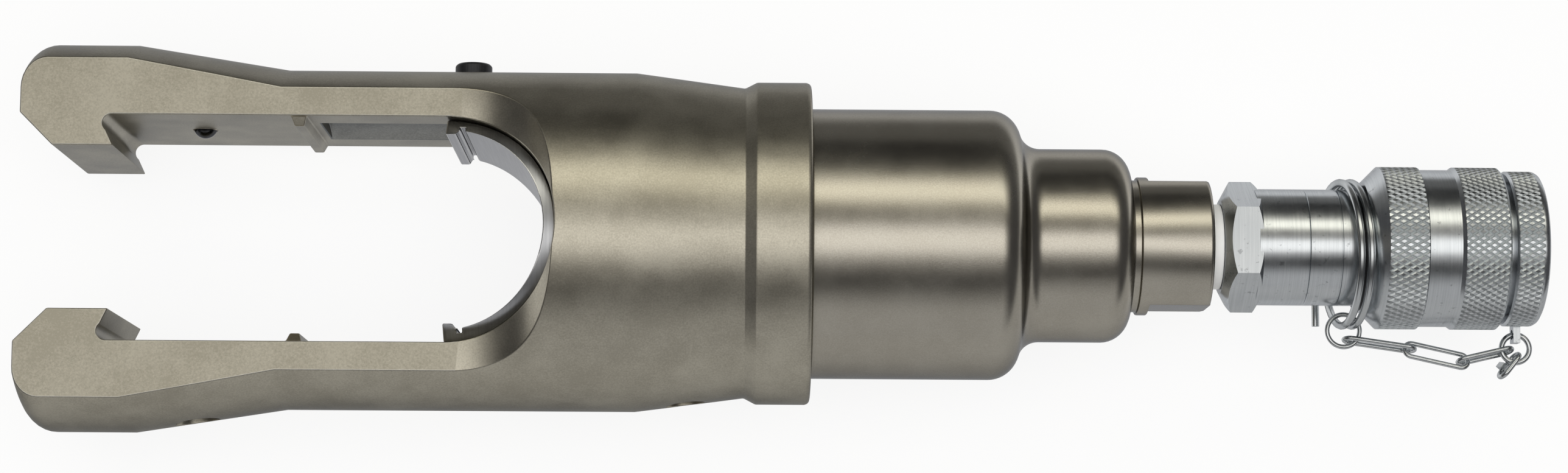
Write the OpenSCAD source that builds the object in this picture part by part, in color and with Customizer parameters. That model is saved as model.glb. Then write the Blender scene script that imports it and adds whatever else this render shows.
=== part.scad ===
// Remote hydraulic crimping head, lying along X with its jaw at -X. A hooked U-shaped yoke
// is screwed onto a stepped cylinder. A spring-returned ram carries a half-round die saddle.
// A screw-type hydraulic coupler at +X is closed by a dust cap on a chain. Sizes in millimetres.

/* [Yoke] */
// Diameter of the yoke's round body and arms
yoke_d = 77.8; // [77:0.2:79]
// Diameter over the hooked ends of the arms
hook_d = 88.6; // [86:0.2:92]
// Thickness between the two flats of the fork
fork_t = 44.4; // [42:0.2:46]
// Width of the slot between the arms
slot_w = 50.8; // [50.6:0.1:51.4]
// Gap between the two hooks
mouth_w = 36.7; // [34:0.1:40]
// Length from the arm tips to the centre of the slot's round end
fork_l = 95.4; // [94:0.2:98]
// Length from that centre to the rear face of the collar
body_l = 82.3; // [82:0.1:84]
// Length of the hooks along the arms
hook_l = 21; // [20:0.2:22]
// Height of the cross ribs on the arms' inner faces
rib_h = 2; // [1:0.1:2.2]
// Depth of the hollow pockets in the arms' inner faces
pocket_deep = 2.6; // [1:0.1:3]
// Radius of the hollow that runs the fork's flats out into the round body
scoop_r = 24.3; // [21:0.1:26]
// Diameter of the waist in front of the collar
waist_d = 71.2; // [70:0.2:73]
// Diameter of the collar
collar_d = 74; // [73.6:0.2:76]

/* [Cylinder and ram] */
// Diameter of the cylinder's barrel
barrel_d = 62; // [61:0.2:64]
// Length of barrel that shows behind the collar
barrel_l = 41; // [40:0.2:44]
// Diameter of the cylinder's second step
step_d = 44.5; // [43:0.1:46]
// Diameter of the neck
neck_d = 31.8; // [31:0.1:33]
// Distance across the two wrench flats of the neck
neck_flats = 28.6; // [27:0.1:29.4]
// Diameter of the ram
ram_d = 50; // [49.6:0.1:50]
// Radius of the die saddle in the ram's nose
saddle_r = 22.5; // [21.5:0.1:22.6]
// Stroke of the ram
stroke = 28; // [20:1:28]
// Wire diameter of the return spring
spring_wire = 3.2; // [2.4:0.1:3.2]

/* [Coupler and cap] */
// Distance across the flats of the coupler's hexagon
hex_flats = 26.3; // [26:0.1:27]
// Diameter of the coupler body
coupler_d = 26.8; // [26.4:0.1:27]
// Diameter of the knurled sleeve
sleeve_d = 37.4; // [37:0.1:38]
// Diameter of the dust cap
cap_d = 35.7; // [35:0.1:36.4]
// Travel of the dust cap while the sleeve unscrews it
cap_travel = 4; // [2:0.2:4]

/* [Small parts and chain] */
// Diameter of the die-release button
button_d = 8.5; // [8:0.1:9]
// Height of the button above the arm
button_h = 2.4; // [2.1:0.1:3]
// Diameter of the detent balls
ball_d = 5.6; // [5.4:0.1:6]
// Height of the detent balls above the arms' inner faces
ball_h = 1.9; // [1.6:0.1:1.9]
// Wire diameter of the chain's anchor ring
anchor_wire = 1.8; // [1.4:0.1:1.8]
// Wire diameter of the chain links
link_wire = 1.1; // [0.8:0.1:1.1]
// Outer width of the chain links
link_w = 4.6; // [4.5:0.1:4.8]

/* [Hidden] */
$fn = 72;

// Clearances between mating pieces
run_gap = 0.08;
thread_gap = 0.05;
free_gap = 0.3;
seat_gap = 0.1;

// Lengths along the tool behind the barrel
shoulder_l = 11.6;
step_l = 14.2;
crown_l = 8.1;
neck_l = 16.5;
seal_l = 2.9;
hex_l = 8.6;
adapter_l = 10.3;
coupler_l = 13.8;
sleeve_l = 31.2;
cap_gap = 1.3;
cap_l = 7.8;
overall_l = fork_l + body_l + barrel_l + shoulder_l + step_l + crown_l + neck_l + seal_l
    + hex_l + adapter_l + coupler_l + sleeve_l + cap_gap + cap_l;

// Stations along X, from the arm tips to the end of the cap
x_tip = -overall_l / 2;
x_u = x_tip + fork_l;
x_yoke = x_u + body_l;
x_barrel = x_yoke + barrel_l;
x_step = x_barrel + shoulder_l;
x_crown = x_step + step_l;
x_neck = x_crown + crown_l;
x_port = x_neck + neck_l;
x_hex = x_port + seal_l;
x_hex_end = x_hex + hex_l;
x_split = x_hex_end + adapter_l;
x_sleeve = x_split + coupler_l;
x_sleeve_end = x_sleeve + sleeve_l;
x_cap = x_sleeve_end + cap_gap;
x_end = x_cap + cap_l;

// Height of the tool's axis above the surface that it lies on
axis_z = yoke_d / 2;

// Turned outline of the yoke: full hooks, taper to the arms, round body, waist and collar
hook_round_l = 23.9;
arm_taper_l = 34.4;
body_round_l = 42.3;
waist_l = 15.1;
collar_l = 12.4;
arm_t = (yoke_d - slot_w) / 2;

// Screwed joint of the yoke and the cylinder
thread_wall = 4;
thread_l = 33.4;
thread_r = ram_d / 2 + thread_wall;
x_thread = x_yoke - thread_l;
bore_r = ram_d / 2 + run_gap;
bore_start = 3;
x_bore_end = x_barrel - 3.4;

// Ram, its seals and the return spring inside it
ram_end_gap = 3;
x_ram_end = x_bore_end - ram_end_gap;
ram_hollow_r = 15;
ram_hollow_gap = 4;
x_washer = x_ram_end - 6;
rod_r = 6;
rod_head_r = ram_hollow_r - 1.4;
rod_head_l = 4;
rod_oil_r = 1.5;
spring_r = 11;
spring_turns = 7.5;
spring_l = stroke + spring_turns * spring_wire + 5.8;
x_rod_head = x_washer - spring_l - rod_head_l;
x_hollow = x_rod_head - ram_hollow_gap;
seal_depth = 3.5;
piston_seal_l = 5.8;
piston_seal_slit = 2.8;
x_seal = x_ram_end - 14;
x_backup = x_seal - 2.2;
x_wear = x_seal - 12;
wear_l = 6;
wear_depth = 1.8;
wiper_l = 4;
wiper_h = 3.1;
wiper_lip = 1;
x_wiper = (x_u + slot_w / 2 + x_thread) / 2 - wiper_l - 0.15;

// Small parts in the arms
button_back = 4.4;
x_button = x_u + button_back;
detent_back = 38.3;
x_detent = x_tip + detent_back;
rib_back = 4;
x_rib = x_tip + hook_round_l + arm_taper_l + rib_back;
rib_foot = 3.6;
rib_top = 2.2;
rib_short = 0.8;
pocket_gap = 2.1;
ball_y = slot_w / 2 - ball_h + ball_d / 2;
detent_arm_r = (hook_d + (yoke_d - hook_d) * (detent_back - hook_round_l) / arm_taper_l) / 2;
detent_screw_r = 4.9;
detent_screw_l = 5.5;
detent_screw_sink = 1.5;
detent_screw_y = detent_arm_r - detent_screw_sink - detent_screw_l;
button_web_y = slot_w / 2 + 0.34 * arm_t;
button_web_t = 1.2;
button_head_y = slot_w / 2 + 0.785 * arm_t;
button_pin_r = 2;
button_clip_y = button_web_y - 0.9;
button_pin_end_y = button_web_y - 1.4;
set_screw_back = 28.4;
set_screw_x = x_yoke - set_screw_back;
set_screw_r = 4.4;

// White sealing ring on the adapter's pipe thread
seal_ring_r = 9.8;
seal_ring_bore_r = 8.6;
seal_ring_edge = 0.7;

// Inside of the coupler
socket_r = 10.5;
socket_l = 7.4;
chamber_r = 8;
x_chamber_end = x_sleeve_end - 7.6;
x_nose = x_sleeve_end - 1.6;
poppet_stem_r = 2;
poppet_head_r = 7;
poppet_nose_r = 4.5;
sleeve_back_r = coupler_d / 2 + 0.12;
sleeve_wall = 0.62 * (sleeve_d / 2 - sleeve_back_r);
sleeve_bore_r = sleeve_d / 2 - sleeve_wall;
sleeve_back_l = 3.4;
nose_r = 12;

// Chain: it lies a little below the axis, on the -Y side
chain_z = axis_z - 3;
cap_ring_r = 3.2;
cap_ring_wire = 1.3;
lug_x = x_cap + 3.5;
lug_hole_y = -cap_d / 2 - 1.75;
cap_ring_y = lug_hole_y - cap_ring_r;
loop_wire = 1.2;
loop_w = 4.6;
loop_start = [lug_x + 0.6, cap_ring_y - 1.3];
loop_end = [lug_x - 3.6, cap_ring_y - 6.5];
loop_roll = 77;
anchor_r = coupler_d / 2 + 3.1;
anchor_pitch = anchor_wire + 0.46;
anchor_turns = 1.8;
anchor_tilt = 4.1;
anchor_back = 7.9;
anchor_x = x_sleeve - anchor_back;
anchor_y = -1.5;
anchor_tail = 15;
anchor_low_y = anchor_y - anchor_r;
chain_y = min(-sleeve_d / 2 - 2.2, anchor_low_y - 2.9);

STEEL = "#8d8a80";
BRIGHT = "#b9bdc2";
DARK = "#2b2b2d";
RUBBER = "#1d1d1f";
WHITE = "#f0f0ec";

// Points of an arc round c from angle a0 to a1
function arc(c, r, a0, a1, n = 10) =
    [for (i = [0:n]) c + r * [cos(a0 + (a1 - a0) * i / n), sin(a0 + (a1 - a0) * i / n)]];

// A body turned about the tool's axis, from points [radius, x]
module turned(points) {
    translate([0, 0, axis_z]) rotate([0, 90, 0]) rotate_extrude() polygon(points);
}

module turned_ring(x0, x1, r0, r1) {
    turned([[r0, x0], [r1, x0], [r1, x1], [r0, x1]]);
}

// A rod or hole along the tool's axis
module rod(x0, x1, r) {
    translate([x0, 0, axis_z]) rotate([0, 90, 0]) cylinder(h = x1 - x0, r = r);
}

// A rod or hole along +Y through the axis height
module cross_rod(x, y0, y1, r) {
    translate([x, y0, axis_z]) rotate([-90, 0, 0]) cylinder(h = y1 - y0, r = r);
}

// A plate of the given outline in the plane of the fork
module fork_plate(t) {
    translate([0, 0, axis_z]) linear_extrude(t, center = true) children();
}

// Round wire along a path that winds about X
module wire(path, d, sides = 6) {
    last = len(path) - 1;
    points = [for (i = [0:last]) let (
        ahead = path[min(i + 1, last)] - path[max(i - 1, 0)],
        along = ahead / norm(ahead),
        side_raw = [1, 0, 0] - along[0] * along,
        side = side_raw / norm(side_raw),
        up = cross(along, side)
    ) for (j = [0:sides - 1]) path[i] + d / 2 * (cos(360 * j / sides) * side + sin(360 * j / sides) * up)];
    walls = [for (i = [0:last - 1]) for (j = [0:sides - 1]) let (
        a = i * sides + j,
        b = i * sides + (j + 1) % sides
    ) each [[a, a + sides, b + sides], [a, b + sides, b]]];
    start_cap = [[for (j = [0:sides - 1]) j]];
    end_cap = [[for (j = [0:sides - 1]) last * sides + sides - 1 - j]];
    polyhedron(points, concat(start_cap, walls, end_cap));
}

// Path of a coil spring of length l, wound about X from the origin
function coil(l, r, turns, per_turn = 14) =
    [for (i = [0:turns * per_turn]) [
        l * i / (turns * per_turn),
        r * cos(360 * i / per_turn),
        r * sin(360 * i / per_turn)
    ]];

// A closed wire link in the XY plane, its ends' wire centres at x = 0 and x = l
module link(l, w, d) {
    r = (w - d) / 2;
    for (end = [0, 1])
        translate([end == 0 ? r : l - r, 0, 0]) rotate([0, 0, end == 0 ? 90 : -90])
            rotate_extrude(angle = 180) translate([r, 0]) circle(d = d, $fn = 24);
    for (side = [-1, 1])
        translate([r, side * r, 0]) rotate([0, 90, 0]) cylinder(h = l - 2 * r, d = d, $fn = 24);
}

// Frame with its origin at point a of the chain's plane and +X towards point b, rolled about that line
module along(a, b, roll) {
    run = b - a;
    translate([a[0], a[1], chain_z]) rotate([0, 0, atan2(run[1], run[0])]) rotate([roll, 0, 0]) children();
}

// Distance between two points of the chain, to a hundredth, so that a link's bows and sides meet
function span(a, b) = round(100 * norm(b - a)) / 100;

// A chain link from point a to point b
module chain_link(a, b, roll) {
    color(BRIGHT) along(a, b, roll) link(span(a, b), link_w, link_wire);
}

// Half of the slot's outline: bevelled mouth, hook with its undercut, and the arm's inner face
module half_slot() {
    hook_y = mouth_w / 2;
    face_y = slot_w / 2;
    bevel = 7.4;
    undercut = 2.4;
    root = 2;
    x_hook = x_tip + hook_l;
    polygon(concat(
        [[x_tip - bevel, 0], [x_tip - bevel, hook_y + 2 * bevel], [x_tip + bevel, hook_y]],
        [[x_hook, hook_y], [x_hook - undercut, face_y - root]],
        [[x_hook - undercut + root, face_y], [x_u, face_y], [x_u, 0]]
    ));
    translate([x_hook - undercut + root, face_y - root]) circle(root);
}

module slot() {
    half_slot();
    mirror([0, 1]) half_slot();
    translate([x_u, 0]) circle(d = slot_w);
}

// Side outline of what is milled off to make the fork's flat on one side
module flat_cut() {
    flat_z = fork_t / 2;
    high = yoke_d;
    x_scoop = x_u + slot_w / 2 + 0.8 - scoop_r;
    translate([x_tip - 1, flat_z]) square([x_scoop - x_tip + 1, high]);
    translate([x_scoop, flat_z + scoop_r]) circle(scoop_r);
    translate([x_scoop, flat_z + scoop_r]) square([scoop_r, high]);
}

// Outline of a trapezoid rib on the +Y arm's inner face
module rib_outline() {
    y0 = slot_w / 2;
    polygon([[x_rib - rib_foot / 2, y0 + 1], [x_rib - rib_foot / 2, y0], [x_rib - rib_top / 2, y0 - rib_h],
        [x_rib + rib_top / 2, y0 - rib_h], [x_rib + rib_foot / 2, y0], [x_rib + rib_foot / 2, y0 + 1]]);
}

// A rib across the arm, sloped down from the flats at both ends
module rib() {
    rib_end_z = fork_t / 2 - rib_short;
    difference() {
        fork_plate(2 * rib_end_z) rib_outline();
        for (side = [0, 1])
            translate([x_rib, slot_w / 2, axis_z]) mirror([0, 0, side])
                translate([0, 0, rib_end_z]) rotate([45, 0, 0])
                    translate([-rib_foot, -4 * rib_h, 0]) cube([2 * rib_foot, 4 * rib_h, 4 * rib_h]);
    }
}

module yoke_blank() {
    tip_r = 6;
    collar_edge_r = 1.2;
    r_hook = hook_d / 2;
    turned(concat(
        [[0, x_tip]],
        arc([r_hook - tip_r, x_tip + tip_r], tip_r, -90, 0, 8),
        [[r_hook, x_tip + hook_round_l], [yoke_d / 2, x_tip + hook_round_l + arm_taper_l]],
        [[yoke_d / 2, x_u + body_round_l], [waist_d / 2, x_yoke - waist_l],
            [collar_d / 2, x_yoke - collar_l]],
        arc([collar_d / 2 - collar_edge_r, x_yoke - collar_edge_r], collar_edge_r, 0, 90, 4),
        [[0, x_yoke]]
    ));
}

module yoke() {
    wide = max(hook_d, yoke_d) + 2;
    x_pocket = x_rib + rib_foot / 2 + pocket_gap;
    pocket_l = x_u + 2 - x_pocket;
    pocket_r = slot_w / 2 + 0.6;
    color(STEEL) {
        difference() {
            yoke_blank();
            fork_plate(wide) slot();
            for (side = [0, 1])
                translate([0, 0, axis_z]) mirror([0, 0, side]) rotate([90, 0, 0])
                    linear_extrude(wide, center = true) flat_cut();
            for (side = [-1, 1])
                translate([0, side * (slot_w / 2 + pocket_deep - pocket_r), 0])
                    rod(x_pocket, x_pocket + pocket_l, pocket_r);
            rod(x_u + bore_start, x_thread + 1, ram_d / 2 + free_gap);
            rod(x_thread, x_yoke + 1, thread_r);
            turned_ring(x_wiper, x_wiper + wiper_l, ram_d / 2, ram_d / 2 + wiper_h);
            for (side = [0, 1]) mirror([0, side, 0]) detent_hole();
            cross_rod(x_button, button_web_y + button_web_t, wide / 2, button_d / 2 + 0.15);
            cross_rod(x_button, 0, button_web_y + button_web_t + 1, button_pin_r + 0.15);
            cross_rod(x_button, 0, button_web_y, 3.6);
            cross_rod(set_screw_x, -wide / 2, 0, set_screw_r + thread_gap);
        }
        for (side = [0, 1]) mirror([0, side, 0]) rib();
    }
}

// Stepped hole of a ball detent in the +Y arm: a lip that keeps the ball, its bore, and a thread
module detent_hole() {
    lip_y = ball_y - sqrt(pow(ball_d / 2, 2) - pow(ball_d / 2 - 0.07, 2));
    cross_rod(x_detent, 0, lip_y + 1, ball_d / 2 - 0.05);
    cross_rod(x_detent, lip_y - 0.05, detent_screw_y, ball_d / 2 + 0.1);
    cross_rod(x_detent, detent_screw_y - 2, hook_d, detent_screw_r + thread_gap);
}

// Outline of the cylinder: threaded spigot, barrel, two rounded steps and the neck
module cylinder_blank() {
    barrel_r = barrel_d / 2;
    step_r = step_d / 2;
    neck_r = neck_d / 2;
    drop = barrel_r - step_r;
    sweep = 2 * atan(drop / shoulder_l);
    arcs_r = shoulder_l / sin(sweep);
    outer_r = 0.58 * arcs_r;
    inner_r = arcs_r - outer_r;
    crown_r = step_r - neck_r;
    turned(concat(
        [[0, x_thread], [thread_r - thread_gap, x_thread], [thread_r - thread_gap, x_yoke]],
        [[barrel_r, x_yoke]],
        arc([barrel_r - outer_r, x_barrel], outer_r, 0, sweep),
        arc([step_r + inner_r, x_step], inner_r, 180 + sweep, 180),
        arc([step_r - crown_r, x_neck - 1.7 - crown_r], crown_r, 0, 90),
        [[neck_r - 0.7, x_neck - 1.7], [neck_r - 0.7, x_neck], [neck_r, x_neck]],
        [[neck_r, x_port - 0.7], [neck_r - 0.7, x_port], [0, x_port]]
    ));
}

module cylinder_part() {
    port_l = 15;
    color(STEEL) difference() {
        cylinder_blank();
        rod(x_thread - 1, x_bore_end, bore_r);
        rod(x_bore_end - 1, x_step, rod_r + thread_gap);
        rod(x_step - 1, x_port - port_l + 1, 3);
        rod(x_port - port_l, x_port + 1, 8.5);
        turned_ring(x_yoke - 6, x_yoke - 3.4, thread_r - 2, thread_r + 1);
        for (side = [-1, 1])
            translate([x_neck + 2.5, side * (neck_flats / 2 + neck_d / 2) - neck_d / 2, axis_z - neck_d])
                cube([neck_l, neck_d, 2 * neck_d]);
    }
}

// Outline of the saddle cut: a half round with a lip at each tip and a relief behind it
module saddle_cut() {
    lip_l = 3.1;
    lip_h = 1.2;
    lip_bevel = 0.9;
    relief_l = 1.2;
    relief_deep = 0.7;
    difference() {
        circle(saddle_r);
        for (side = [0, 1]) mirror([0, side]) translate([0, saddle_r])
            polygon([[-1, -lip_h], [lip_l - lip_bevel, -lip_h], [lip_l, 0], [lip_l, lip_h], [-1, lip_h]]);
    }
    for (side = [0, 1]) mirror([0, side])
        translate([lip_l, saddle_r - 2 * relief_deep]) square([relief_l, 3 * relief_deep]);
}

// Piston with a nose that fills the round end of the slot, rounded above and below to head_r
module ram() {
    r = ram_d / 2;
    head_r = r + 6;
    nose_out = slot_w / 2 - 0.25;
    color(BRIGHT) difference() {
        union() {
            turned([
                [0, x_u], [r, x_u], [r, x_wear], [r - wear_depth, x_wear], [r - wear_depth, x_wear + wear_l],
                [r, x_wear + wear_l], [r, x_backup], [r - seal_depth, x_backup], [r - seal_depth, x_seal + 6],
                [r, x_seal + 6], [r, x_ram_end - 1], [r - 1, x_ram_end], [0, x_ram_end]
            ]);
            intersection() {
                rod(x_u, x_u + ram_d, head_r);
                fork_plate(2 * head_r + 2) translate([x_u, 0]) circle(nose_out);
            }
        }
        fork_plate(2 * head_r + 4) translate([x_u, 0]) saddle_cut();
        rod(x_hollow, x_ram_end + 1, ram_hollow_r);
        turned_ring(x_washer + 2.7, x_washer + 4.3, ram_hollow_r - 1, ram_hollow_r + 1);
    }
}

// U-shaped pressure seal, open towards the oil
module piston_seal() {
    r0 = ram_d / 2 - seal_depth + 0.05;
    r1 = bore_r - 0.02;
    mid = (r0 + r1) / 2;
    color(RUBBER) turned([[r0, x_seal], [r1, x_seal], [r1, x_seal + piston_seal_l],
        [mid, x_seal + piston_seal_l - piston_seal_slit], [r0, x_seal + piston_seal_l]]);
}

module seal_backup_ring() {
    color(WHITE) turned_ring(x_backup + seat_gap, x_seal - seat_gap,
        ram_d / 2 - seal_depth + 0.05, bore_r - 0.04);
}

module ram_wear_band() {
    color("#6b4a2f") turned_ring(x_wear + seat_gap, x_wear + wear_l - seat_gap,
        ram_d / 2 - wear_depth + 0.05, bore_r - 0.03);
}

// Scraper ring in the mouth of the yoke's bore
module ram_wiper() {
    r = ram_d / 2;
    x0 = x_wiper + seat_gap;
    x1 = x_wiper + wiper_l - seat_gap;
    color(RUBBER) turned([[r + 0.06, x0], [r + wiper_lip, x0], [r + wiper_h - seat_gap, x0 + wiper_lip],
        [r + wiper_h - seat_gap, x1], [r + wiper_lip, x1]]);
}

module cylinder_o_ring() {
    color(RUBBER) turned_ring(x_yoke - 5.9, x_yoke - 3.5, thread_r - 1.95, thread_r - 0.06);
}

// Bolt from the cylinder's end wall, drilled for the oil; its head holds the return spring
module spring_rod() {
    color(DARK) turned([
        [rod_oil_r, x_rod_head], [rod_head_r, x_rod_head], [rod_head_r, x_rod_head + rod_head_l],
        [rod_r, x_rod_head + rod_head_l], [rod_r, x_step - 0.5], [rod_oil_r, x_step - 0.5]
    ]);
}

module return_spring() {
    rise = spring_l - spring_wire - 0.2;
    color(DARK) translate([x_washer - 0.1 - spring_wire / 2 - rise, 0, axis_z])
        wire(coil(rise, spring_r, spring_turns), spring_wire);
}

module spring_washer() {
    color(BRIGHT) turned_ring(x_washer, x_washer + 2.6, rod_r + 0.4, ram_hollow_r - 0.1);
}

module spring_snap_ring() {
    color(DARK) turned_ring(x_washer + 2.75, x_washer + 4.25, ram_hollow_r - 2, ram_hollow_r + 0.95);
}

module yoke_set_screw() {
    tip_y = -thread_r - 0.1;
    head_y = -waist_d / 2 + 0.6;
    color(BRIGHT) difference() {
        cross_rod(set_screw_x, head_y, tip_y, set_screw_r);
        translate([set_screw_x, head_y - 1, axis_z]) rotate([-90, 0, 0]) cylinder(h = 4, d = 4.6, $fn = 6);
    }
}

// Black push button with its pin and a groove for the clip
module release_button() {
    top_y = yoke_d / 2 + button_h;
    color(DARK) difference() {
        union() {
            translate([x_button, 0, axis_z]) rotate([-90, 0, 0]) rotate_extrude() polygon([
                [0, button_head_y], [button_d / 2, button_head_y], [button_d / 2, top_y - 0.6],
                [button_d / 2 - 0.6, top_y], [0, top_y]
            ]);
            cross_rod(x_button, button_pin_end_y, button_head_y + 1, button_pin_r);
        }
        translate([x_button, 0, axis_z]) rotate([-90, 0, 0]) rotate_extrude()
            translate([button_pin_r - 0.5, button_clip_y]) square([2, 0.8]);
    }
}

module button_clip() {
    color(BRIGHT) translate([x_button, 0, axis_z]) rotate([-90, 0, 0]) rotate_extrude()
        translate([button_pin_r - 0.45, button_clip_y + 0.1]) square([1.6, 0.6]);
}

module button_spring() {
    y0 = button_web_y + button_web_t;
    d = 0.7;
    rise = button_head_y - y0 - d - 0.1;
    color(BRIGHT) translate([x_button, y0 + d / 2 + 0.05, axis_z]) rotate([0, 0, 90])
        wire(coil(rise, 3.1, max(1, floor(rise / (1.8 * d)))), d);
}

module detent_ball() {
    color(DARK) translate([x_detent, ball_y, axis_z]) sphere(d = ball_d);
}

module detent_ball_upper() {
    detent_ball();
}

module detent_ball_lower() {
    mirror([0, 1, 0]) detent_ball();
}

module detent_spring() {
    d = 0.6;
    y0 = ball_y + ball_d / 2 - 0.5;
    rise = detent_screw_y - y0 - d - 0.05;
    color(BRIGHT) translate([x_detent, y0 + d / 2, axis_z]) rotate([0, 0, 90])
        wire(coil(rise, 2.05, max(1, floor(rise / (2.1 * d)))), d);
}

module detent_spring_upper() {
    detent_spring();
}

module detent_spring_lower() {
    mirror([0, 1, 0]) detent_spring();
}

module detent_screws() {
    color(DARK) for (side = [0, 1]) mirror([0, side, 0]) difference() {
        cross_rod(x_detent, detent_screw_y, detent_screw_y + detent_screw_l, detent_screw_r);
        translate([x_detent, detent_screw_y + detent_screw_l - 3, axis_z]) rotate([-90, 0, 0])
            cylinder(h = 4, d = 5.6, $fn = 6);
    }
}

// White sealing ring between the neck's port and the hexagon
module thread_seal_ring() {
    color(WHITE) turned([[seal_ring_bore_r, x_port + seat_gap],
        [seal_ring_r - seal_ring_edge, x_port + seat_gap],
        [seal_ring_r, x_port + seat_gap + seal_ring_edge], [seal_ring_r, x_hex - seat_gap],
        [seal_ring_bore_r, x_hex - seat_gap]]);
}

// Hexagon with its pipe thread towards the cylinder and a spigot that screws into the coupler body
module coupler_adapter() {
    corner_r = hex_flats / sqrt(3);
    hex_turn = 30;
    spigot_r = socket_r - thread_gap;
    color(BRIGHT) difference() {
        union() {
            intersection() {
                translate([x_hex, 0, axis_z]) rotate([0, 90, 0]) rotate([0, 0, hex_turn])
                    cylinder(h = hex_l, r = corner_r, $fn = 6);
                turned([[0, x_hex], [corner_r - 4.4, x_hex], [corner_r, x_hex + 2.4],
                    [corner_r, x_hex_end - 1.2], [corner_r - 2, x_hex_end], [0, x_hex_end]]);
            }
            rod(x_port - 12, x_hex + 1, 8.4);
            rod(x_hex_end - 1, x_split, coupler_d / 2);
            rod(x_split - 1, x_split + socket_l - 0.2, spigot_r);
        }
        rod(x_port - 13, x_split + socket_l, 5);
        turned_ring(x_split + 2, x_split + 4.2, spigot_r - 1.5, spigot_r + 1);
    }
}

module coupler_o_ring() {
    color(RUBBER) turned_ring(x_split + 2.1, x_split + 4.1, socket_r - 1.5, socket_r - 0.02);
}

// Body with a socket at the back, the poppet's chamber, a flange for the sleeve and the nose
module coupler_body() {
    r = coupler_d / 2;
    x_flange = x_sleeve + sleeve_back_l + 0.2;
    x_line = x_split + socket_l;
    flange_r = sleeve_bore_r - free_gap;
    flange_l = 3;
    color(BRIGHT) difference() {
        turned([
            [0, x_split], [r - 0.3, x_split], [r, x_split + 0.3], [r, x_line - 0.1], [r - 0.3, x_line],
            [r - 0.3, x_line + 0.2], [r, x_line + 0.3], [r, x_sleeve - 1.55], [r - 0.8, x_sleeve - 1.55],
            [r - 0.8, x_sleeve - 0.25], [r, x_sleeve - 0.25], [r, x_flange],
            [flange_r, x_flange], [flange_r, x_flange + flange_l], [nose_r, x_flange + flange_l],
            [nose_r, x_nose - 0.8],
            [nose_r - 0.8, x_nose], [0, x_nose]
        ]);
        rod(x_split - 1, x_split + socket_l, socket_r);
        rod(x_split, x_chamber_end, chamber_r);
        rod(x_chamber_end - 1, x_nose + 1, poppet_nose_r + 0.5);
    }
}

// Spider disc that guides the poppet's stem, with holes for the oil
module poppet_guide() {
    x0 = x_split + socket_l + 0.1;
    color(BRIGHT) difference() {
        rod(x0, x0 + 3, chamber_r - 0.05);
        rod(x0 - 1, x0 + 4, poppet_stem_r + run_gap);
        for (i = [0:3])
            translate([x0 - 1, 0, axis_z]) rotate([90 * i, 0, 0]) translate([0, 5, 0])
                rotate([0, 90, 0]) cylinder(h = 5, r = 1.5);
    }
}

module poppet() {
    x_seat = x_chamber_end - 0.9;
    x_back = x_seat - 4;
    color(BRIGHT) turned([
        [0, x_split + 8.1], [poppet_stem_r, x_split + 8.1], [poppet_stem_r, x_back], [poppet_head_r, x_back],
        [poppet_head_r, x_back + 0.9], [poppet_head_r - 1.2, x_back + 0.9],
        [poppet_head_r - 1.2, x_back + 2.9],
        [poppet_head_r, x_back + 2.9], [poppet_head_r, x_seat - 0.4], [poppet_nose_r, x_seat],
        [poppet_nose_r, x_nose - 1.3], [poppet_nose_r - 0.6, x_nose - 0.7], [0, x_nose - 0.7]
    ]);
}

module poppet_seal() {
    x_back = x_chamber_end - 4.9;
    color(RUBBER) turned_ring(x_back + 1, x_back + 2.8, poppet_head_r - 1.15, poppet_head_r + 0.6);
}

module poppet_spring() {
    d = 1.2;
    x0 = x_split + socket_l + 3.1 + d / 2 + 0.05;
    x1 = x_chamber_end - 4.9 - d / 2 - 0.05;
    color(BRIGHT) translate([x0, 0, axis_z]) wire(coil(x1 - x0, 5, 6), d);
}

// Knurled sleeve: bevelled back end, two knurled bands with a smooth one between, threaded bore
module sleeve() {
    r = sleeve_d / 2;
    bevel = 0.675 * (r - sleeve_back_r);
    x_band = x_sleeve + 12.4;
    band_l = 8.4;
    color(BRIGHT) turned([
        [sleeve_back_r, x_sleeve], [r - bevel, x_sleeve], [r, x_sleeve + bevel], [r, x_band],
        [r - 0.6, x_band + 0.3], [r - 0.6, x_band + band_l - 0.8], [r, x_band + band_l],
        [r, x_sleeve_end - 0.5], [r - 0.5, x_sleeve_end], [sleeve_bore_r, x_sleeve_end],
        [sleeve_bore_r, x_sleeve + sleeve_back_l], [sleeve_back_r, x_sleeve + sleeve_back_l]
    ]);
}

module sleeve_snap_ring() {
    x0 = x_sleeve - 1.4;
    color(DARK) turned_ring(x0, x0 + 1, coupler_d / 2 - 0.75, coupler_d / 2 + 1);
}

// Dust cap: a knurled disc, a hollow threaded skirt inside the sleeve and a lug for the chain
module dust_cap() {
    r = cap_d / 2;
    skirt_r = sleeve_bore_r - free_gap;
    skirt_l = 16;
    edge_r = 1.6;
    lug_t = 1.6;
    lug_w = 3.8;
    lug_deep = 3.7;
    color(BRIGHT) difference() {
        union() {
            turned(concat(
                [[nose_r + 0.6, x_cap - skirt_l], [skirt_r, x_cap - skirt_l], [skirt_r, x_cap],
                    [r - 0.5, x_cap],
                    [r, x_cap + 0.5]],
                arc([r - edge_r, x_end - edge_r], edge_r, 0, 90, 5),
                [[0, x_end], [0, x_cap + 2], [nose_r + 0.6, x_cap + 2]]
            ));
            translate([lug_x - lug_t / 2, -r - lug_deep, chain_z - lug_w / 2])
                cube([lug_t, lug_deep + 1.2, lug_w]);
        }
        translate([lug_x - lug_t, lug_hole_y, chain_z]) rotate([0, 90, 0])
            cylinder(h = 2 * lug_t, r = cap_ring_wire / 2 + 0.5);
    }
}

// Flat ring in the cap that seals against the coupler's nose
module cap_gasket() {
    color(RUBBER) turned_ring(x_cap + 0.4, x_cap + 1.9, 7, nose_r + 0.5);
}

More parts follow.
